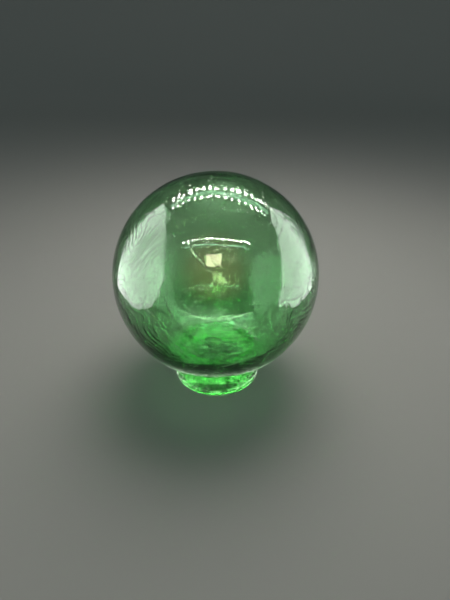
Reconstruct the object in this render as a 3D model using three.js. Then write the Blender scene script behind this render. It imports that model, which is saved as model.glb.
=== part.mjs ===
// A hand-blown glass float ball, standing on its own short glass ring.
// Millimetres, +Z up. The origin is on the table, in the middle of the ring.
import * as THREE from 'three';

// ---- Driving dimensions -------------------------------------------------------------------
const BALL_DIAMETER = 80;
const RING_DIAMETER = 36; // outside
const RING_WALL = 3.6; // between the ring's outer wall and its bore
const RING_HEIGHT = 10;
const REST_GAP = 0.3; // kept between the ball and the seat that it rests on

// The seat is a bevel round the bore's top, as steep as the ball is where it meets it.
const SEAT_WIDTH = 1.6; // across the bevel, seen from above
const RIM_ROUND = 0.8; // radius of the ring's outer top edge
const FOOT_ROUND = 0.5; // radius of both edges of the ring's underside

// The seal closes the hole that the blowpipe left. It is a low round button with a rolled rim,
// and the ball sits a little rolled back on its ring, so that the seal is off the lowest point.
const SEAL_DIAMETER = 8.6;
const SEAL_HEIGHT = 0.45; // how far the rolled rim stands proud of the ball
const SEAL_DISH = 0.3; // how far the middle of the button is sunk below its rim
const SEAL_TILT = 6; // degrees between the ball's axis and straight down
const SEAL_HEADING = 115; // degrees round from +X towards +Y, the way the seal leans

const BALL_SECTORS = 72;
const BALL_STEPS = 36; // from the seal to the opposite pole
const RING_SECTORS = 72;
const ROUND_STEPS = 4; // along each rounded edge
const SEAL_STEPS = 8; // across the seal's rolled rim

// ---- Worked out from those ----------------------------------------------------------------
const ballRadius = BALL_DIAMETER / 2;
const ringRadius = RING_DIAMETER / 2;
const boreRadius = ringRadius - RING_WALL;
const seatRadius = boreRadius + SEAT_WIDTH / 2; // where the ball touches
const reach = ballRadius + REST_GAP;
const seatSlope = Math.asin(seatRadius / reach); // of the ball's surface there
const seatDrop = SEAT_WIDTH * Math.tan(seatSlope);
const seatHeight = RING_HEIGHT - seatDrop / 2;
const ballCentre = seatHeight + reach * Math.cos(seatSlope);

const radians = THREE.MathUtils.degToRad;

// A solid of revolution about +Z from [radius, height] points.
function turned(points, sectors) {
  const profile = points.map(([radius, height]) => new THREE.Vector2(radius, height));
  return new THREE.LatheGeometry(profile, sectors).rotateX(Math.PI / 2);
}

// A quarter round between two straight edges, as [radius, height] points about a centre.
function quarterRound(centre, size, fromDegrees) {
  const points = [];
  for (let step = 0; step <= ROUND_STEPS; step += 1) {
    const angle = radians(fromDegrees + (90 * step) / ROUND_STEPS);
    points.push([centre[0] + size * Math.cos(angle), centre[1] + size * Math.sin(angle)]);
  }
  return points;
}

// How far the seal's button stands out from the sphere, by its distance from the seal's middle:
// a dished centre, then a rolled rim that dies into the ball.
function sealRise(distance) {
  const edge = SEAL_DIAMETER / 2;
  const crest = edge * 0.78;
  if (distance >= edge) {
    return 0;
  }
  if (distance > crest) {
    return SEAL_HEIGHT * Math.cos(((distance - crest) / (edge - crest)) * (Math.PI / 2));
  }
  const dish = Math.cos((distance / crest) * (Math.PI / 2)) ** 2;
  return SEAL_HEIGHT - SEAL_DISH * dish;
}

// The ball about its own middle, with the seal at its lowest point. Polar angles are measured
// from the seal: they are close together across it, and even over the rest.
function ballGeometry() {
  const sealAngle = Math.asin(SEAL_DIAMETER / 2 / ballRadius);
  const angles = [];
  for (let step = 0; step < SEAL_STEPS; step += 1) {
    angles.push((sealAngle * step) / SEAL_STEPS);
  }
  for (let step = 0; step <= BALL_STEPS; step += 1) {
    angles.push(sealAngle + ((Math.PI - sealAngle) * step) / BALL_STEPS);
  }
  const points = angles.map((angle, index) => {
    const radius = ballRadius + sealRise(ballRadius * Math.sin(Math.min(angle, Math.PI / 2)));
    const onAxis = index === 0 || index === angles.length - 1;
    return [onAxis ? 0 : radius * Math.sin(angle), -radius * Math.cos(angle)];
  });
  return turned(points, BALL_SECTORS);
}

// The ring's section, once round from the inner edge of its underside: underside, outer wall,
// top, seat and bore.
function ringGeometry() {
  const flat = RING_HEIGHT - RIM_ROUND;
  const section = [
    ...quarterRound([ringRadius - FOOT_ROUND, FOOT_ROUND], FOOT_ROUND, -90),
    ...quarterRound([ringRadius - RIM_ROUND, flat], RIM_ROUND, 0),
    [boreRadius + SEAT_WIDTH, RING_HEIGHT],
    [boreRadius, RING_HEIGHT - seatDrop],
    ...quarterRound([boreRadius + FOOT_ROUND, FOOT_ROUND], FOOT_ROUND, 180),
  ];
  return turned([...section, section[0]], RING_SECTORS);
}

// ---- The scene graph ----------------------------------------------------------------------
const greenGlass = new THREE.MeshStandardMaterial({
  color: 0x4f8f5c,
  roughness: 0.04,
  metalness: 0,
});
const paleGlass = new THREE.MeshStandardMaterial({
  color: 0xa0e4a0,
  roughness: 0.05,
  metalness: 0,
});

const float = new THREE.Group();

const ball = new THREE.Mesh(ballGeometry(), greenGlass);
ball.name = 'glass_ball';

// The ball leans about its own middle: its axis tips towards the heading, by the tilt.
const lean = new THREE.Group();
const heading = radians(SEAL_HEADING);
const hinge = new THREE.Vector3(Math.sin(heading), -Math.cos(heading), 0);
lean.quaternion.setFromAxisAngle(hinge, radians(SEAL_TILT));
lean.position.set(0, 0, ballCentre);
lean.add(ball);
float.add(lean);

const ring = new THREE.Mesh(ringGeometry(), paleGlass);
ring.name = 'ring_stand';
float.add(ring);

export default float;
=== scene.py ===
"""A hand-blown glass float ball on its cast ring stand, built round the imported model.

Metres, +Z up. The ball is a sealed hollow shell with its seal low at the back, and the ring is
open through the middle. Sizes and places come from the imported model's boxes."""

import itertools
import math
import random

import bpy
from bpy.props import FloatProperty, FloatVectorProperty, IntProperty, PointerProperty, StringProperty
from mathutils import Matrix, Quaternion, Vector


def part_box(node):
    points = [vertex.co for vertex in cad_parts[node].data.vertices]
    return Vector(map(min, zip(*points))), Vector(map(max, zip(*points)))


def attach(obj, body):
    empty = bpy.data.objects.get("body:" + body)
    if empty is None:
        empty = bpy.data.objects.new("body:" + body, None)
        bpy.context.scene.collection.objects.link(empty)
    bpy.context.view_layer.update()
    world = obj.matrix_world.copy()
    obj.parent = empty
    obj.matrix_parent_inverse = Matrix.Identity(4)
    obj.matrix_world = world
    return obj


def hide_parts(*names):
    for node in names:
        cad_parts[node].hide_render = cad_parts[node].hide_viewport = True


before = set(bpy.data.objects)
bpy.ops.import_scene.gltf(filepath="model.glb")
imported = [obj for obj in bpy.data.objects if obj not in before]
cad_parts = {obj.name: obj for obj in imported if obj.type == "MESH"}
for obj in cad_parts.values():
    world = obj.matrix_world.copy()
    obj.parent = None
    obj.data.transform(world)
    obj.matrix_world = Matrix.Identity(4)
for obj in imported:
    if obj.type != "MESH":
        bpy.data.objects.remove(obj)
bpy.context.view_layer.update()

bl_info = {
    "name": "Glass float ball",
    "version": (1, 0, 0),
    "blender": (4, 5, 0),
    "location": "3D View > Sidebar > Float",
    "description": "Blows a green glass float ball, casts its ring stand and lights them",
    "category": "Object",
}

MM = 0.001

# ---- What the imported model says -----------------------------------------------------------
ball_low, ball_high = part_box("glass_ball")
ring_low, ring_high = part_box("ring_stand")
BALL_RADIUS = (ball_high.x - ball_low.x) / 2
BALL_CENTRE = Vector((0, 0, ball_high.z - BALL_RADIUS))
RING_RADIUS = (ring_high.x - ring_low.x) / 2
RING_HEIGHT = ring_high.z - ring_low.z
SEAT_GAP = 0.3 * MM

# ---- The stage's sizes, and what the chance draws start from -----------------------------------
PAPER_WIDE = 4.0
PAPER_HIGH = 2.5
PAPER_BEND = 0.6
PAPER_BACK = 1.3
FLOOR_DROP = 0.1 * MM
POOL_RADIUS = 33 * MM
SEED = 11

# Steps round a full circle, for the ball and the ring.
ROUND = 144

# Ways and corners of a flat lamp.
ACROSS = Vector((1, 0, 0))
BACK = Vector((0, 1, 0))
CORNERS = ((-1, -1), (1, -1), (1, 1), (-1, 1))

# Node settings that come up often.
SMOOTH = {"interpolation_type": "SMOOTHSTEP"}
TIMES = {"operation": "MULTIPLY"}
TIMES_PLUS = {"operation": "MULTIPLY_ADD"}
LARGER = {"operation": "MAXIMUM"}
COLOURS = {"data_type": "RGBA"}

# Where the badly mixed glass shows its cords: spokes from the ball's middle, how far each patch
# reaches in millimetres, and how strong it is.
CORD_PATCHES = (
    ((-0.62, -0.57, 0.53), 13, 1.35), ((-0.62, -0.78, -0.12), 15, 1.0), ((0.72, -0.68, -0.10), 16, 1.0),
    ((-0.62, -0.36, 0.70), 9, 1.0), ((0.66, -0.36, 0.66), 10, 1.4), ((0.90, -0.40, 0.15), 12, 1.0),
    ((0.60, 0.75, 0.25), 18, 1.0), ((-0.55, 0.80, -0.20), 18, 1.0), ((0.10, 0.90, 0.40), 14, 1.0),
)

# The longest drawn seeds: where each starts, turns and ends, as spokes from the ball's middle,
# and its radius in millimetres. They are drawn LINE_GAIN times as thick, because such lines are
# too fine to show.
LINE_GAIN = 2.8
LONG_LINES = (
    ((-0.53, -0.85, -0.02), (-0.32, -0.93, -0.18), (-0.13, -0.92, -0.38), 0.11),
    ((-0.61, -0.77, 0.18), (-0.52, -0.85, 0.10), (-0.36, -0.93, -0.04), 0.09),
    ((-0.39, -0.89, 0.25), (-0.33, -0.94, 0.10), (-0.20, -0.97, -0.13), 0.09),
    ((0.14, -0.98, 0.13), (0.27, -0.96, 0.01), (0.40, -0.90, -0.18), 0.12),
    ((0.63, -0.76, 0.18), (0.57, -0.82, 0.02), (0.45, -0.88, -0.14), 0.09),
    ((-0.20, -0.73, 0.65), (-0.11, -0.81, 0.57), (-0.02, -0.87, 0.50), 0.13),
    ((-0.30, -0.90, -0.05), (-0.22, -0.94, -0.16), (-0.10, -0.95, -0.28), 0.08),
    ((0.05, -0.90, -0.42), (0.20, -0.90, -0.36), (0.34, -0.90, -0.27), 0.10),
    ((0.10, 0.55, -0.80), (-0.10, 0.50, -0.84), (-0.33, 0.38, -0.84), 0.12),
    ((0.36, 0.20, -0.90), (0.28, -0.05, -0.95), (0.10, -0.25, -0.95), 0.12),
    ((-0.45, 0.15, -0.86), (-0.30, -0.10, -0.92), (-0.08, -0.30, -0.93), 0.12),
)


# ---- Sizes and colours that a user would change ---------------------------------------------
class FloatBallSizes(bpy.types.PropertyGroup):
    wall_top: FloatProperty(
        name="Wall at the top", description="Glass thickness opposite the seal",
        default=1.1 * MM, min=0.8 * MM, max=4 * MM, unit="LENGTH")
    wall_seal: FloatProperty(
        name="Wall at the seal", description="Glass thickness round the seal, where it pooled",
        default=5.0 * MM, min=1 * MM, max=6 * MM, unit="LENGTH")
    pool_spread: FloatProperty(
        name="Pool spread", description="How far from the seal the thick glass reaches",
        default=math.radians(58), subtype="ANGLE")
    seal_tilt: FloatProperty(
        name="Seal tilt", description="Angle between the seal and straight down",
        default=math.radians(6), subtype="ANGLE")
    seal_heading: FloatProperty(
        name="Seal heading", description="Way that the seal leans, from +X towards +Y",
        default=math.radians(115), subtype="ANGLE")
    seal_width: FloatProperty(
        name="Seal width", description="Across the button that closes the blowing hole",
        default=8.6 * MM, unit="LENGTH")
    seed_count: IntProperty(
        name="Seeds", description="Small bubbles in the wall", default=90, min=0, max=400)
    thread_count: IntProperty(
        name="Drawn seeds", description="Bubbles drawn out into fine lines", default=70, min=0, max=300)
    absorbed: FloatVectorProperty(
        name="Absorption", description="Light taken by a metre of the glass: red, green, blue",
        default=(400.0, 132.0, 375.0), size=3)


class RingStandSizes(bpy.types.PropertyGroup):
    wall: FloatProperty(
        name="Wall", description="From the ring's outer wall to its bore",
        default=3.6 * MM, unit="LENGTH")
    seat: FloatProperty(
        name="Seat", description="Width of the bevel that the ball rests on",
        default=1.6 * MM, unit="LENGTH")
    rim_round: FloatProperty(
        name="Rim round", description="Radius of the outer top edge", default=0.8 * MM, unit="LENGTH")
    foot_round: FloatProperty(
        name="Foot round", description="Radius of the underside's edges", default=0.5 * MM, unit="LENGTH")
    absorbed: FloatVectorProperty(
        name="Absorption", description="Light taken by a metre of the glass: red, green, blue",
        default=(190.0, 42.0, 185.0), size=3)


class FloatStage(bpy.types.PropertyGroup):
    floor_colour: StringProperty(
        name="Floor", description="Paper that the ball stands on, as an sRGB hex value",
        default="#b4b4b0")


# ---- Small tools ------------------------------------------------------------------------------
def linear(hex_colour):
    """An sRGB hex colour as linear red, green, blue and alpha."""
    channels = [int(hex_colour[i:i + 2], 16) / 255 for i in (1, 3, 5)]
    return (*[c / 12.92 if c <= 0.04045 else ((c + 0.055) / 1.055) ** 2.4 for c in channels], 1)


def add(tree, kind, settings=None, **links):
    """Adds a node. settings are its properties; links and plain values go to the named inputs,
    where an underscore stands for a space, and i0, i1 and so on are inputs by number."""
    node = tree.nodes.new(kind)
    for name, value in (settings or {}).items():
        setattr(node, name, value)
    for name, value in links.items():
        name = name.replace("_", " ")
        numbered = name[0] == "i" and name[1:].isdigit()
        socket = node.inputs[int(name[1:]) if numbered else name]
        if isinstance(value, bpy.types.NodeSocket):
            tree.links.new(value, socket)
        else:
            socket.default_value = value
    return node


def start_edit(piece, kind="FACE"):
    bpy.ops.object.select_all(action="DESELECT")
    bpy.context.view_layer.objects.active = piece
    piece.select_set(True)
    bpy.ops.object.mode_set(mode="EDIT")
    bpy.ops.mesh.select_mode(type=kind)
    bpy.ops.mesh.select_all(action="DESELECT")


def end_edit():
    bpy.ops.object.mode_set(mode="OBJECT")


def clear_selection(piece, kind="FACE"):
    """Selects nothing in the piece, and sets what its next selection is made of."""
    start_edit(piece, kind)
    end_edit()


def settle(piece):
    """Puts the piece's place into its mesh."""
    bpy.ops.object.select_all(action="DESELECT")
    piece.select_set(True)
    bpy.context.view_layer.objects.active = piece
    bpy.ops.object.transform_apply(location=True, rotation=True, scale=True)


def apply_modifiers(piece):
    bpy.context.view_layer.objects.active = piece
    for modifier in list(piece.modifiers):
        bpy.ops.object.modifier_apply(modifier=modifier.name)


def ruffle(piece, name, size, rise, where=""):
    """Displaces the piece by a slow noise: size is the noise's grain and rise its height."""
    texture = bpy.data.textures.new(name, "CLOUDS")
    texture.noise_scale = size
    texture.noise_depth = 1
    ruffled = piece.modifiers.new(name, "DISPLACE")
    ruffled.texture = texture
    ruffled.texture_coords = "LOCAL"
    ruffled.strength = rise
    ruffled.vertex_group = where


def oblong(middle, half_across, half_up):
    """Corners of a flat oblong, from its middle and its two half sides."""
    return [middle + half_across * x + half_up * y for x, y in CORNERS]


def seal_direction(sizes):
    """Way from the ball's middle to its seal."""
    across = math.sin(sizes.seal_tilt)
    return Vector((across * math.cos(sizes.seal_heading), across * math.sin(sizes.seal_heading),
                   -math.cos(sizes.seal_tilt)))


# ---- Materials ----------------------------------------------------------------------------------
def new_material(name):
    """An empty material, and its node tree."""
    material = bpy.data.materials.new(name)
    material.use_nodes = True
    material.node_tree.nodes.clear()
    return material, material.node_tree


def clear_glass(tree, taken, normal):
    """Smooth soda-lime glass, coloured in its depth by what a metre of it takes of each colour."""
    # A little over the largest, so that no colour reaches zero.
    densest = max(taken) * 1.02
    passed = (*[1 - t / densest for t in taken], 1)
    depth = add(tree, "ShaderNodeVolumeAbsorption", Color=passed, Density=densest)
    surface = add(tree, "ShaderNodeBsdfPrincipled", Base_Color=linear("#ffffff"), Roughness=0.0, IOR=1.52,
                  Transmission_Weight=1.0, Normal=normal)
    add(tree, "ShaderNodeOutputMaterial", Surface=surface.outputs[0], Volume=depth.outputs[0])


def lit_face(tree, colour, strength):
    """The shining face of a lamp."""
    face = add(tree, "ShaderNodeEmission", Color=linear(colour), Strength=strength)
    add(tree, "ShaderNodeOutputMaterial", Surface=face.outputs[0])


def line_net(tree, at, size, width, detail, wander):
    """Fine wandering lines: 1 along the middle level of a noise, 0 away from it. size is in
    millimetres, and width in parts of the noise's height."""
    field = add(tree, "ShaderNodeTexNoise", Vector=at, Scale=1 / (size * MM), Detail=detail,
                Distortion=wander).outputs["Fac"]
    field = add(tree, "ShaderNodeMath", {"operation": "SUBTRACT"}, i0=field, i1=0.5).outputs[0]
    field = add(tree, "ShaderNodeMath", {"operation": "ABSOLUTE"}, i0=field).outputs[0]
    return add(tree, "ShaderNodeMapRange", SMOOTH, Value=field, From_Min=0.0, From_Max=width,
               To_Min=1.0, To_Max=0.0).outputs["Result"]


def blown_glass(sizes):
    """Bottle-green soda-lime glass, blown and fire-polished: mirror-smooth but never flat. The
    blowpipe's turns leave slow waves, and badly mixed glass leaves cords, which bend what is
    seen through them in bundles of fine curved lines."""
    material, tree = new_material("blown_soda_lime_glass")
    object_at = add(tree, "ShaderNodeTexCoord").outputs["Object"]
    turn = seal_direction(sizes).to_track_quat("Z", "X").inverted().to_euler()
    # Along the ball's own axis: Z runs from its middle to the seal.
    centred = add(tree, "ShaderNodeVectorMath", {"operation": "SUBTRACT"}, i0=object_at,
                  i1=tuple(BALL_CENTRE)).outputs[0]
    own = add(tree, "ShaderNodeMapping", Vector=centred, Rotation=tuple(turn)).outputs[0]
    along = add(tree, "ShaderNodeSeparateXYZ", Vector=own).outputs["Z"]
    low_down = add(tree, "ShaderNodeMapRange", SMOOTH, Value=along, From_Min=BALL_RADIUS * 0.6,
                   From_Max=BALL_RADIUS * 0.95).outputs["Result"]

    # Threads of stiffer glass: single raised lines, most of them low down.
    thread = line_net(tree, own, 9, 0.022, 0.5, 2.2)
    spread = add(tree, "ShaderNodeMapRange", Value=along, From_Min=-BALL_RADIUS, From_Max=BALL_RADIUS * 0.9,
                 To_Min=0.45, To_Max=1.0).outputs["Result"]
    thread = add(tree, "ShaderNodeMath", TIMES, i0=thread, i1=spread).outputs[0]

    # Tooling waves: rings 1.9 mm apart about the seal, left as it was closed.
    aside = add(tree, "ShaderNodeVectorMath", TIMES, i0=own, i1=(1, 1, 0)).outputs[0]
    aside = add(tree, "ShaderNodeVectorMath", {"operation": "LENGTH"}, i0=aside).outputs["Value"]
    rings = add(tree, "ShaderNodeMath", TIMES, i0=aside, i1=math.tau / (1.9 * MM)).outputs[0]
    rings = add(tree, "ShaderNodeMath", {"operation": "SINE"}, i0=rings).outputs[0]
    near = add(tree, "ShaderNodeMapRange", SMOOTH, Value=aside, From_Min=6 * MM, From_Max=12 * MM,
               To_Min=1.0, To_Max=0.0).outputs["Result"]
    near = add(tree, "ShaderNodeMath", TIMES, i0=near, i1=low_down).outputs[0]
    rings = add(tree, "ShaderNodeMath", TIMES, i0=rings, i1=near).outputs[0]

    # Slow waves all over. The shift picks the run of them that the patches below lie on.
    own = add(tree, "ShaderNodeVectorMath", {"operation": "ADD"}, i0=own, i1=(0.12, 0.05, 0.33)).outputs[0]
    slow = add(tree, "ShaderNodeTexNoise", Vector=own, Scale=1 / (16 * MM), Detail=1.5).outputs["Fac"]
    ripple = add(tree, "ShaderNodeTexNoise", Vector=own, Scale=1 / (6.5 * MM), Detail=0.5).outputs["Fac"]

    # Cords: level lines of a slow field, in patches.
    field = add(tree, "ShaderNodeTexNoise", Vector=own, Scale=1 / (24 * MM), Detail=0.6,
                Distortion=0.9).outputs["Fac"]
    levels = add(tree, "ShaderNodeMath", TIMES, i0=field, i1=44.0).outputs[0]
    lines = add(tree, "ShaderNodeMath", {"operation": "PINGPONG"}, i0=levels, i1=1.0).outputs[0]
    lines = add(tree, "ShaderNodeMath", {"operation": "POWER"}, i0=lines, i1=4.0).outputs[0]
    where = None
    for spoke, reach, level in CORD_PATCHES:
        gap = add(tree, "ShaderNodeVectorMath", {"operation": "DISTANCE"}, i0=centred,
                  i1=tuple(Vector(spoke).normalized() * BALL_RADIUS)).outputs["Value"]
        patch = add(tree, "ShaderNodeMapRange", SMOOTH, Value=gap, From_Min=0.3 * reach * MM,
                    From_Max=reach * MM, To_Min=level, To_Max=0.0).outputs["Result"]
        where = patch if where is None else add(tree, "ShaderNodeMath", LARGER, i0=where, i1=patch).outputs[0]
    cords = add(tree, "ShaderNodeMath", TIMES, i0=lines, i1=where).outputs[0]

    # Chill wrinkles, where the glass pooled and was tooled round the seal.
    wrinkle = add(tree, "ShaderNodeTexNoise", Vector=own, Scale=1 / (4.2 * MM), Detail=1.0,
                  Distortion=1.4).outputs["Fac"]
    away = add(tree, "ShaderNodeMapRange", SMOOTH, Value=aside, From_Min=4 * MM, From_Max=9 * MM,
               To_Min=0.25, To_Max=1.0).outputs["Result"]
    away = add(tree, "ShaderNodeMath", TIMES, i0=away, i1=low_down).outputs[0]
    wrinkle = add(tree, "ShaderNodeMath", TIMES, i0=wrinkle, i1=away).outputs[0]

    # A fine grain, stronger towards the seal.
    fine = add(tree, "ShaderNodeTexNoise", Vector=own, Scale=1 / (2.4 * MM), Detail=1.0,
               Distortion=0.5).outputs["Fac"]
    lower = add(tree, "ShaderNodeMapRange", Value=along, From_Min=-BALL_RADIUS * 0.7,
                From_Max=BALL_RADIUS * 0.5, To_Min=0.3, To_Max=1.0).outputs["Result"]
    fine = add(tree, "ShaderNodeMath", TIMES, i0=fine, i1=lower).outputs[0]

    # Each pattern's height in millimetres, one bump on the other.
    normal = None
    for height, rise in ((slow, 0.2), (ripple, 0.07), (fine, 0.022), (cords, 0.06), (wrinkle, 0.06),
                         (rings, 0.02), (thread, 0.04)):
        under = {} if normal is None else {"Normal": normal}
        bump = add(tree, "ShaderNodeBump", Height=height, Strength=1.0, Distance=rise * MM, **under)
        normal = bump.outputs[0]
    clear_glass(tree, sizes.absorbed, normal)
    return material


def cast_glass(sizes):
    """Pale green soda-lime glass, pressed in a mould: bright and clear, with small ripples from
    the cold metal, which break what is seen through it into sparkles."""
    material, tree = new_material("pressed_soda_lime_glass")
    at = add(tree, "ShaderNodeTexCoord").outputs["Object"]
    ripple = add(tree, "ShaderNodeTexNoise", Vector=at, Scale=1 / (2.2 * MM), Detail=2,
                 Distortion=1.4).outputs["Fac"]
    ripple = add(tree, "ShaderNodeMath", TIMES_PLUS, i0=ripple, i1=2.0, i2=-1.0).outputs[0]
    ripple = add(tree, "ShaderNodeMath", {"operation": "ABSOLUTE"}, i0=ripple).outputs[0]
    normal = add(tree, "ShaderNodeBump", Height=ripple, Strength=1.0, Distance=0.03 * MM)
    clear_glass(tree, sizes.absorbed, normal.outputs[0])
    return material


def seamless_paper(colour):
    """Matt seamless paper: an even pale ground with no shine. Round the foot its own emission paints a glow
    for the green light that comes through the ball."""
    material, tree = new_material("seamless_paper")
    at = add(tree, "ShaderNodeTexCoord").outputs["Object"]
    reach = add(tree, "ShaderNodeVectorMath", {"operation": "LENGTH"}, i0=at).outputs["Value"]
    # Painted light: a faint green glow in the paper's emission round the foot, standing in for the light that
    # comes through the ball.
    through = add(tree, "ShaderNodeMapRange", SMOOTH, Value=reach, From_Min=16 * MM, From_Max=58 * MM,
                  To_Min=0.06, To_Max=0.0).outputs["Result"]
    surface = add(tree, "ShaderNodeBsdfPrincipled", Base_Color=linear(colour), Roughness=0.9,
                  Emission_Color=linear("#c0e0c4"), Emission_Strength=through, Specular_IOR_Level=0.1)
    add(tree, "ShaderNodeOutputMaterial", Surface=surface.outputs[0])
    return material


def as_mirrored(tree, strength, near=1.0, far=1.0):
    """The strength of a lamp where it is seen mirrored: near is its share in the near wall, and
    far in the far wall, after four crossings of the glass. Straight through it is dark, so the
    far lamps don't fill the ball from the sides."""
    path = add(tree, "ShaderNodeLightPath")
    mirrored = add(tree, "ShaderNodeMath", {"operation": "MINIMUM"}, i0=path.outputs["Glossy Depth"],
                   i1=1.0).outputs[0]
    deep = add(tree, "ShaderNodeMath", {"operation": "GREATER_THAN"},
               i0=path.outputs["Transmission Depth"], i1=3.5).outputs[0]
    share = add(tree, "ShaderNodeMath", TIMES_PLUS, i0=deep, i1=far - near, i2=near).outputs[0]
    share = add(tree, "ShaderNodeMath", TIMES, i0=share, i1=mirrored).outputs[0]
    return add(tree, "ShaderNodeMath", TIMES, i0=share, i1=strength).outputs[0]


def glow(name, colour, strength, near=1.0, far=1.0):
    """The lit face of a studio lamp."""
    material, tree = new_material(name)
    lit_face(tree, colour, as_mirrored(tree, strength, near, far))
    return material


def soft_panel(name, away, fade):
    """A softbox's cloth: even in the middle, dimmer towards its top front edge."""
    bright, dim = 4.6, 0.5
    material, tree = new_material(name)
    at = add(tree, "ShaderNodeTexCoord").outputs["Object"]
    at = add(tree, "ShaderNodeVectorMath", {"operation": "SUBTRACT"}, i0=at, i1=tuple(BALL_CENTRE)).outputs[0]
    edge = add(tree, "ShaderNodeVectorMath", {"operation": "DOT_PRODUCT"}, i0=at,
               i1=(0, -0.65 / away, 0.76 / away)).outputs["Value"]
    light = add(tree, "ShaderNodeMapRange", SMOOTH, Value=edge, From_Min=fade[0], From_Max=fade[1],
                To_Min=bright, To_Max=dim).outputs["Result"]
    lit_face(tree, "#ffffff", as_mirrored(tree, light))
    return material


def soft_disc(name, middle, radius, colour, strength, reflects):
    """A round lamp's cloth, brightest in the middle and dying away to its rim."""
    material, tree = new_material(name)
    at = add(tree, "ShaderNodeTexCoord").outputs["Object"]
    spoke = add(tree, "ShaderNodeVectorMath", {"operation": "DISTANCE"}, i0=at,
                i1=tuple(middle)).outputs["Value"]
    light = add(tree, "ShaderNodeMapRange", SMOOTH, Value=spoke, From_Min=0.2 * radius, From_Max=radius,
                To_Min=strength, To_Max=0.0).outputs["Result"]
    lit_face(tree, colour, as_mirrored(tree, light) if reflects else light)
    return material


def light_pool():
    """A painted pool of the light that the ball gathers on the paper under itself: a net of fine bright
    lines, green inside the ring's bore and almost white outside it. Its upper side glows, and what is seen
    through it is tinted darker green, a painted shadow of the ball."""
    material, tree = new_material("light_pool")
    at = add(tree, "ShaderNodeTexCoord").outputs["Object"]
    reach = add(tree, "ShaderNodeVectorMath", {"operation": "LENGTH"}, i0=at).outputs["Value"]
    # Painted light: fine bright lines that stand in for the light the ball focuses on the paper.
    net = None
    for size, width, weight in ((3.2, 0.05, 1.0), (1.7, 0.06, 0.7)):
        lines = line_net(tree, at, size, width, 1.2, 1.4)
        lines = add(tree, "ShaderNodeMath", TIMES, i0=lines, i1=weight).outputs[0]
        net = lines if net is None else add(tree, "ShaderNodeMath", LARGER, i0=net, i1=lines).outputs[0]
    inside = add(tree, "ShaderNodeMapRange", SMOOTH, Value=reach, From_Min=15 * MM, From_Max=32 * MM,
                 To_Min=1.0, To_Max=0.0).outputs["Result"]
    round_bore = add(tree, "ShaderNodeMapRange", SMOOTH, Value=reach, From_Min=12 * MM,
                     From_Max=15 * MM).outputs["Result"]
    level = add(tree, "ShaderNodeMapRange", Value=round_bore, To_Min=0.06, To_Max=1.0).outputs["Result"]
    under = add(tree, "ShaderNodeNewGeometry").outputs["Backfacing"]
    upper = add(tree, "ShaderNodeMath", {"operation": "SUBTRACT"}, i0=1.0, i1=under).outputs[0]
    strength = add(tree, "ShaderNodeMath", TIMES_PLUS, i0=net, i1=3.0, i2=0.03).outputs[0]
    for share in (inside, level, upper):
        strength = add(tree, "ShaderNodeMath", TIMES, i0=strength, i1=share).outputs[0]
    # A colour mix takes its factor at input 0 and its colours at 6 and 7, and gives output 2.
    line_colour = add(tree, "ShaderNodeMix", COLOURS, i0=round_bore, i6=linear("#6cf36c"),
                      i7=linear("#fffff6")).outputs[2]
    colour = add(tree, "ShaderNodeMix", COLOURS, i0=net, i6=linear("#30da50"), i7=line_colour).outputs[2]
    # Painted shadow: what is seen through the disc is darkened to green within the ball's footprint.
    painted_shadow_tint = add(tree, "ShaderNodeMix", COLOURS, i0=inside, i6=linear("#ffffff"),
               i7=linear("#458b55")).outputs[2]
    face = add(tree, "ShaderNodeEmission", Color=colour, Strength=strength)
    clear = add(tree, "ShaderNodeBsdfTransparent", Color=painted_shadow_tint)
    both = add(tree, "ShaderNodeAddShader", i0=face.outputs[0], i1=clear.outputs[0])
    add(tree, "ShaderNodeOutputMaterial", Surface=both.outputs[0])
    return material


# ---- The ball -------------------------------------------------------------------------------------
def wall_at(sizes, angle):
    """Wall thickness by the angle from the seal: the glass pooled there and thinned above."""
    pooled = math.exp(-((angle / sizes.pool_spread) ** 2))
    return sizes.wall_top + (sizes.wall_seal - sizes.wall_top) * pooled


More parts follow.
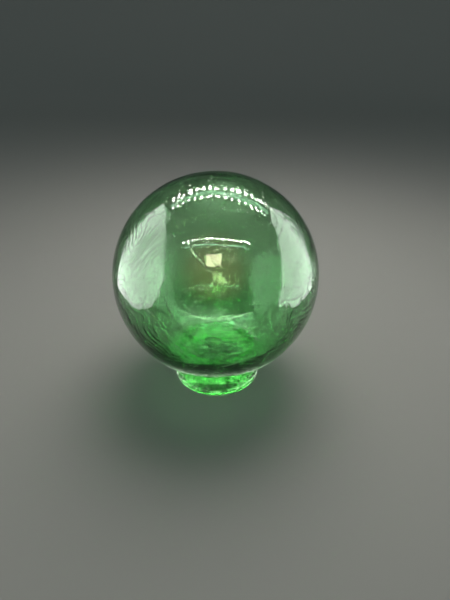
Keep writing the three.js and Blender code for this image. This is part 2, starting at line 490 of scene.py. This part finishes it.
class FLOAT_OT_blow_ball(bpy.types.Operator):
    """Blow the hollow ball, with its seal and the bubbles in its wall"""

    bl_idname = "float.blow_ball"
    bl_label = "Blow the ball"

    def execute(self, context):
        sizes = context.scene.float_ball
        seal = seal_direction(sizes)
        bpy.ops.object.select_all(action="DESELECT")
        bpy.ops.mesh.primitive_uv_sphere_add(
            segments=ROUND, ring_count=ROUND, radius=BALL_RADIUS, location=BALL_CENTRE,
            rotation=seal.to_track_quat("Z", "X").to_euler())
        ball = context.object
        ball.name = "blown_ball"
        settle(ball)
        self.hollow(ball, sizes, seal)
        self.press_seal(ball, sizes, seal)
        self.trap_bubbles(ball, sizes, seal)
        bpy.ops.object.shade_smooth()
        ball.data.materials.append(blown_glass(sizes))
        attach(ball, "root")
        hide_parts("glass_ball")
        return {"FINISHED"}

    def hollow(self, ball, sizes, seal):
        """Gives the sphere slow waves, a wall that is thick at the seal, and an uneven inside."""
        walls = ball.vertex_groups.new(name="wall")
        for vertex in ball.data.vertices:
            angle = (vertex.co - BALL_CENTRE).angle(seal)
            walls.add([vertex.index], wall_at(sizes, angle) / sizes.wall_seal, "REPLACE")
        ball.vertex_groups.new(name="inside")
        ruffle(ball, "slow waves", 28 * MM, 0.18 * MM)
        wall = ball.modifiers.new("wall", "SOLIDIFY")
        wall.thickness = sizes.wall_seal
        wall.offset = -1
        wall.vertex_group = "wall"
        wall.shell_vertex_group = "inside"
        ruffle(ball, "uneven inside", 14 * MM, 0.25 * MM, "inside")
        apply_modifiers(ball)

    def press_seal(self, ball, sizes, seal):
        """Raises the round button outside, with a rolled rim and a dished middle, and the lip
        that it pushed up inside."""
        clear_selection(ball)
        # A little under the seal's width, because whole faces are taken.
        reach = math.asin(sizes.seal_width / 2 / BALL_RADIUS) * 0.96
        halfway = BALL_RADIUS - sizes.wall_seal / 2
        # Each step's width and rise in millimetres, from the edge inwards.
        button = ((0.25, 0.22), (0.3, 0.1), (0.3, -0.1), (0.4, -0.16))
        lip = ((0.3, 0.42), (0.2, 0.08), (0.2, -0.08), (0.3, -0.42), (0.4, 0.05))
        for outside, steps in ((True, button), (False, lip)):
            for face in ball.data.polygons:
                spoke = face.center - BALL_CENTRE
                face.select = (spoke.length > halfway) == outside and spoke.angle(seal) < reach
            bpy.ops.object.mode_set(mode="EDIT")
            # One face, or a step wider than the sphere's own rings would fold over them.
            bpy.ops.mesh.dissolve_faces()
            for width, rise in steps:
                bpy.ops.mesh.inset(thickness=width * MM, depth=rise * MM)
            end_edit()

    def trap_bubbles(self, ball, sizes, seal):
        """Seeds, and seeds drawn out into fine lines. Each is a pocket of air in the wall, so
        its faces point inwards, away from the glass."""
        chance = random.Random(SEED)
        bpy.ops.object.select_all(action="DESELECT")
        bpy.ops.mesh.primitive_uv_sphere_add(segments=6, ring_count=20, radius=1)
        spindle = bpy.context.object
        start_edit(spindle)
        bpy.ops.mesh.select_all(action="SELECT")
        bpy.ops.mesh.flip_normals()
        end_edit()
        side = seal.cross(Vector((1, 0, 0))).normalized()
        across = seal.cross(side)
        pockets = []
        # Each pocket's angle from the seal, turn, half length, radius and curl.
        for _ in range(sizes.seed_count):
            tilt = math.acos(1 - 2 * chance.random() ** 1.4)
            pockets.append((tilt, chance.uniform(0, math.tau), chance.uniform(0.2, 0.6) * MM,
                            chance.uniform(0.12, 0.24) * MM, 0.0))
        for _ in range(sizes.thread_count):
            tilt = math.radians(chance.triangular(5, 62, 22))
            pockets.append((tilt, chance.uniform(0, math.tau), chance.uniform(1.2, 5.0) * MM,
                            chance.uniform(0.12, 0.22) * MM, chance.uniform(-1, 1)))
        for tilt, turn, half_length, radius, bend in pockets:
            at = seal * math.cos(tilt) + (side * math.cos(turn) + across * math.sin(turn)) * math.sin(tilt)
            depth = BALL_RADIUS - wall_at(sizes, tilt) * chance.uniform(0.35, 0.6)
            heading = at.orthogonal().normalized()
            heading.rotate(Quaternion(at, chance.uniform(0, math.tau)))
            # The line runs round an axis: square to the spoke it is straight, closer it curls.
            axis = (heading + at * bend * 1.6).normalized()
            self.lay_pocket(spindle, at * depth, axis, half_length, radius)
        for start, middle, end, radius in LONG_LINES:
            start, middle, end = (Vector(spoke).normalized() for spoke in (start, middle, end))
            axis = (middle - start).cross(end - middle).normalized()
            depth = BALL_RADIUS - wall_at(sizes, middle.angle(seal)) * 0.45
            arm = (middle - axis * middle.dot(axis)).length * depth
            half_length = math.asin((end - start).length * depth / 2 / arm) * arm
            self.lay_pocket(spindle, middle * depth, axis, half_length, radius * LINE_GAIN * MM)
        bpy.data.objects.remove(spindle)
        bpy.context.view_layer.objects.active = ball
        ball.select_set(True)
        bpy.ops.object.join()

    def lay_pocket(self, spindle, spoke, axis, half_length, radius):
        """Draws a copy of the unit ball out along the circle that spoke makes round axis."""
        pocket = spindle.copy()
        pocket.data = spindle.data.copy()
        bpy.context.scene.collection.objects.link(pocket)
        arm = (spoke - axis * spoke.dot(axis)).length
        for vertex in pocket.data.vertices:
            angle = vertex.co.z * half_length / arm
            turn = Quaternion(axis, angle)
            out = (turn @ spoke).normalized()
            along = axis.cross(out).normalized()
            beside = out.cross(along)
            vertex.co = BALL_CENTRE + turn @ spoke + (out * vertex.co.x + beside * vertex.co.y) * radius
        pocket.select_set(True)


# ---- The ring stand ---------------------------------------------------------------------------------
class FLOAT_OT_press_ring(bpy.types.Operator):
    """Press the open ring that the ball rests on"""

    bl_idname = "float.press_ring"
    bl_label = "Press the ring stand"

    def execute(self, context):
        sizes = context.scene.float_ring
        bore = RING_RADIUS - sizes.wall
        bpy.ops.object.select_all(action="DESELECT")
        bpy.ops.mesh.primitive_plane_add(size=1, rotation=(math.pi / 2, 0, 0))
        ring = context.object
        ring.name = "pressed_ring"
        ring.scale = (sizes.wall, RING_HEIGHT, 1)
        ring.location = ((RING_RADIUS + bore) / 2, 0, RING_HEIGHT / 2)
        settle(ring)
        self.round_section(ring, sizes, bore)
        self.spin_section(ring)
        bpy.ops.object.shade_smooth()
        ring.data.materials.append(cast_glass(sizes))
        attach(ring, "root")
        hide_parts("ring_stand")
        return {"FINISHED"}

    def round_section(self, ring, sizes, bore):
        """Cuts the seat off the section's inner top corner, then rounds the other corners."""
        slope = math.asin((bore + sizes.seat / 2) / (BALL_RADIUS + SEAT_GAP))
        start_edit(ring)
        bpy.ops.mesh.select_all(action="SELECT")
        bpy.ops.mesh.bisect(
            plane_co=(bore + sizes.seat, 0, RING_HEIGHT), plane_no=(-math.sin(slope), 0, math.cos(slope)),
            use_fill=False, clear_outer=True)
        for radius, height, size in ((RING_RADIUS, RING_HEIGHT, sizes.rim_round),
                                     (RING_RADIUS, 0, sizes.foot_round), (bore, 0, sizes.foot_round)):
            end_edit()
            corner = Vector((radius, 0, height))
            for vertex in ring.data.vertices:
                vertex.select = (vertex.co - corner).length < 0.05 * MM
            for edge in ring.data.edges:
                edge.select = False
            for face in ring.data.polygons:
                face.select = False
            bpy.ops.object.mode_set(mode="EDIT")
            bpy.ops.mesh.select_mode(type="VERT")
            bpy.ops.mesh.bevel(offset=size, segments=6, affect="VERTICES", profile=0.5)
        bpy.ops.mesh.select_all(action="SELECT")
        bpy.ops.mesh.delete(type="ONLY_FACE")
        end_edit()

    def spin_section(self, ring):
        """Spins the section's outline into the whole ring."""
        start_edit(ring, "VERT")
        bpy.ops.mesh.select_all(action="SELECT")
        bpy.ops.mesh.spin(steps=ROUND, angle=math.tau, center=(0, 0, 0), axis=(0, 0, 1),
                          use_auto_merge=True)
        bpy.ops.mesh.select_all(action="SELECT")
        bpy.ops.mesh.remove_doubles(threshold=0.01 * MM)
        bpy.ops.mesh.normals_make_consistent(inside=False)
        end_edit()


# ---- The stage ------------------------------------------------------------------------------------
class FLOAT_OT_set_stage(bpy.types.Operator):
    """Lay the floor, hang the lamps and set the camera"""

    bl_idname = "float.set_stage"
    bl_label = "Set the stage"

    def execute(self, context):
        stage = context.scene.float_stage
        self.lay_floor(context, stage)
        self.hang_panels(context)
        self.hang_strips(context)
        self.hang_battens(context)
        self.hang_soft_light(context)
        self.pool_light(context)
        self.light_world(context)
        self.place_camera(context)
        context.scene.view_settings.view_transform = "Standard"
        context.scene.cycles.max_bounces = 24
        context.scene.cycles.transmission_bounces = 24
        context.scene.cycles.glossy_bounces = 12
        context.scene.cycles.sample_clamp_indirect = 40
        return {"FINISHED"}

    def lay_floor(self, context, stage):
        """Seamless paper: flat under the ball, then swept up behind it."""
        bpy.ops.object.select_all(action="DESELECT")
        bpy.ops.mesh.primitive_plane_add(
            size=PAPER_WIDE, location=(0, PAPER_BACK - PAPER_WIDE / 2, -FLOOR_DROP))
        floor = context.object
        floor.name = "paper_sweep"
        settle(floor)
        clear_selection(floor, "EDGE")
        for edge in floor.data.edges:
            edge.select = all(floor.data.vertices[v].co.y > 0 for v in edge.vertices)
        bpy.ops.object.mode_set(mode="EDIT")
        bpy.ops.mesh.extrude_region_move(TRANSFORM_OT_translate={"value": (0, 0, PAPER_HIGH)})
        end_edit()
        for edge in floor.data.edges:
            ends = [floor.data.vertices[v].co for v in edge.vertices]
            edge.select = all(co.y > 0 and co.z < 10 * MM for co in ends)
        bpy.ops.object.mode_set(mode="EDIT")
        bpy.ops.mesh.bevel(offset=PAPER_BEND, segments=32, affect="EDGES")
        end_edit()
        bpy.ops.object.shade_smooth()
        floor.data.materials.append(seamless_paper(stage.floor_colour))

    def lamp_face(self, context, name, outlines, material):
        """One lamp made of flat faces, each a list of corners in ball radii from its middle. Only
        the glass sees it, and it doesn't light the paper."""
        corners = []
        faces = []
        for outline in outlines:
            faces.append(list(range(len(corners), len(corners) + len(outline))))
            corners += [BALL_CENTRE + BALL_RADIUS * Vector(corner) for corner in outline]
        mesh = bpy.data.meshes.new(name)
        mesh.from_pydata(corners, [], faces)
        lamp = bpy.data.objects.new(name, mesh)
        context.scene.collection.objects.link(lamp)
        mesh.materials.append(material)
        lamp.visible_camera = False
        lamp.visible_diffuse = False
        lamp.visible_shadow = False

    def hang_panels(self, context):
        """Two tall soft panels, one each side. Both fade out towards their tops."""
        away = 3.6
        left = ((-0.07, -0.36), (0.33, -0.41), (0.42, -0.3), (0.40, 0.1), (0.52, 0.58), (0.84, 1.15),
                (0.32, 1.2), (-0.26, 1.1), (-0.6, 0.8), (-0.82, 0.4), (-0.76, 0.02), (-0.56, -0.25))
        right = ((-0.14, -0.33), (0.28, -0.39), (0.38, -0.33), (0.40, 0.05), (0.56, 0.4), (0.76, 1.07),
                 (0.26, 0.98), (-0.13, 0.64), (-0.4, 0.28), (-0.56, -0.05), (-0.6, -0.23))
        for hand, name, side, fade in ((-1, "softbox_left", left, (0.75, 1.08)),
                                       (1, "softbox_right", right, (0.9, 1.2))):
            outline = [(hand * away, away * y, away * z) for y, z in side]
            self.lamp_face(context, name, [outline], soft_panel(name, away * BALL_RADIUS, fade))

    def hang_strips(self, context):
        """Two rows of small lamps overhead, each on a bar, one before the ball and one behind,
        and a small square lamp high behind the camera."""
        high = 5.0
        dot_half = 0.08
        bar_half = 0.07
        dots = glow("lamp_row", "#fff4f4", 150.0, far=2.0)
        bar = glow("lamp_bar", "#c8ffe0", 8.0, far=4.0)
        for name, count, rows, ahead, left, right, beside in (
                ("lamps_front", 15, (0,), -0.53, -0.64, 0.76, (-0.13,)),
                ("lamps_back", 16, (0, 0.1, -0.3), 0.66, -0.74, 0.91, (-0.14, -0.21))):
            lamps = []
            for row, index in itertools.product(rows, range(count)):
                middle = (left + (right - left) * (index + 0.5) / count, ahead + row, 1)
                lamps.append(oblong(high * Vector(middle), ACROSS * dot_half, BACK * dot_half))
            self.lamp_face(context, name, lamps, dots)
            bars = []
            for gap in beside:
                middle = high * Vector(((left + right) / 2, ahead + gap, 1))
                bars.append(oblong(middle, ACROSS * (high * (right - left) / 2), BACK * bar_half))
            self.lamp_face(context, name + "_bar", bars, bar)
        aim = Vector((-0.01, -0.73, 0.68))
        up = ACROSS.cross(aim).normalized()
        square = oblong(aim * 20, ACROSS * 2.7, up * 2.1)
        self.lamp_face(context, "lamp_square", [square], glow("lamp_warm", "#fff0c8", 14.0, far=2.2))

    def hang_battens(self, context):
        """Long thin lamps from low behind the ball to straight overhead. Only its far wall shows
        them, as lines that the thick base's wrinkles bend and break."""
        away = 8.0
        half_long = 13.0
        batten_half = 0.05
        battens = []
        for lift in (4, 20, 32, 45, 60, 74):
            angle = math.radians(lift)
            middle = away * Vector((0, math.cos(angle), math.sin(angle)))
            up = Vector((0, -math.sin(angle), math.cos(angle)))
            battens.append(oblong(middle, ACROSS * half_long, up * batten_half))
        self.lamp_face(context, "battens", battens, glow("lamp_batten", "#f4fff8", 55.0, near=0.0))
        # A row of square lamps just behind the top, on a bar.
        back, high = 1.7, 5.0
        reach = 8
        dot_half = 0.12
        bar_half = 0.07
        row = [oblong(Vector((x, back, high)), ACROSS * dot_half, BACK * dot_half)
               for x in range(-reach, reach + 1)]
        row.append(oblong(Vector((0, back, high)), ACROSS * reach, BACK * bar_half))
        self.lamp_face(context, "lamps_over", row, glow("lamp_over", "#fff4f8", 60.0, near=0.0))

    def pool_light(self, context):
        """A glowing disc on the paper under the ball, which only the glass shows."""
        bpy.ops.object.select_all(action="DESELECT")
        bpy.ops.mesh.primitive_circle_add(vertices=64, radius=POOL_RADIUS, fill_type="NGON",
                                          location=(0, 0, -FLOOR_DROP / 2))
        pool = context.object
        pool.name = "light_pool"
        settle(pool)
        pool.data.materials.append(light_pool())
        pool.visible_camera = False
        pool.visible_diffuse = False
        pool.visible_shadow = False

    def hang_soft_light(self, context):
        """A soft overhead lamp, which lights the paper and isn't mirrored, and a dim warm room in
        front, which only the glass sees."""
        overhead = BALL_CENTRE + Vector((0.03, 0.10, 0.26))
        room = BALL_CENTRE + Vector((0, -0.8, 0.6)) * 0.9
        for name, middle, radius, colour, strength, reflects in (
                ("soft_overhead", overhead, 0.19, "#fffdf6", 4.1, False),
                ("warm_room", room, 0.85, "#ffa05a", 0.8, True)):
            bpy.ops.object.select_all(action="DESELECT")
            turn = (BALL_CENTRE - middle).to_track_quat("Z", "X").to_euler()
            bpy.ops.mesh.primitive_circle_add(vertices=48, radius=radius, fill_type="NGON",
                                              location=middle, rotation=turn)
            lamp = context.object
            lamp.name = name
            settle(lamp)
            lamp.data.materials.append(soft_disc(name, middle, radius, colour, strength, reflects))
            lamp.visible_camera = False
            lamp.visible_glossy = reflects
            lamp.visible_diffuse = not reflects
            lamp.visible_shadow = False

    def light_world(self, context):
        """A dark even studio, four times as bright for the paper as for the glass."""
        world = bpy.data.worlds.new("studio")
        context.scene.world = world
        world.use_nodes = True
        tree = world.node_tree
        tree.nodes.clear()
        on_paper = add(tree, "ShaderNodeLightPath").outputs["Is Diffuse Ray"]
        level = add(tree, "ShaderNodeMath", TIMES_PLUS, i0=on_paper, i1=3.0, i2=1.0).outputs[0]
        shade = add(tree, "ShaderNodeBackground", Color=linear("#303535"), Strength=level)
        add(tree, "ShaderNodeOutputWorld", Surface=shade.outputs[0])

    def place_camera(self, context):
        """Close to the ball and above it, as a phone is held."""
        above = math.radians(27.9)
        tilt_down = math.radians(31)
        aside = 0.02
        away = 4.46 * BALL_RADIUS
        data = bpy.data.cameras.new("camera")
        camera = bpy.data.objects.new("camera", data)
        context.scene.collection.objects.link(camera)
        camera.location = BALL_CENTRE + away * Vector((aside, -math.cos(above), math.sin(above)))
        camera.rotation_euler = (math.pi / 2 - tilt_down, 0, 0)
        data.sensor_width = 36
        data.lens = 27
        data.clip_start = 1 * MM
        context.scene.camera = camera


class FLOAT_PT_panel(bpy.types.Panel):
    """Lists the sizes and the three steps"""

    bl_label = "Glass float ball"
    bl_idname = "FLOAT_PT_panel"
    bl_space_type = "VIEW_3D"
    bl_region_type = "UI"
    bl_category = "Float"

    def draw(self, context):
        layout = self.layout
        for group, operator in ((context.scene.float_ball, "float.blow_ball"),
                                (context.scene.float_ring, "float.press_ring"),
                                (context.scene.float_stage, "float.set_stage")):
            box = layout.box()
            for name in group.__annotations__:
                box.prop(group, name)
            box.operator(operator)


GROUPS = {"float_ball": FloatBallSizes, "float_ring": RingStandSizes, "float_stage": FloatStage}
CLASSES = (*GROUPS.values(), FLOAT_OT_blow_ball, FLOAT_OT_press_ring, FLOAT_OT_set_stage, FLOAT_PT_panel)


def register():
    for cls in CLASSES:
        bpy.utils.register_class(cls)
    for name, group in GROUPS.items():
        setattr(bpy.types.Scene, name, PointerProperty(type=group))


def unregister():
    for name in GROUPS:
        delattr(bpy.types.Scene, name)
    for cls in reversed(CLASSES):
        bpy.utils.unregister_class(cls)


def main():
    register()
    bpy.ops.float.blow_ball()
    bpy.ops.float.press_ring()
    bpy.ops.float.set_stage()


if __name__ == "__main__":
    main()
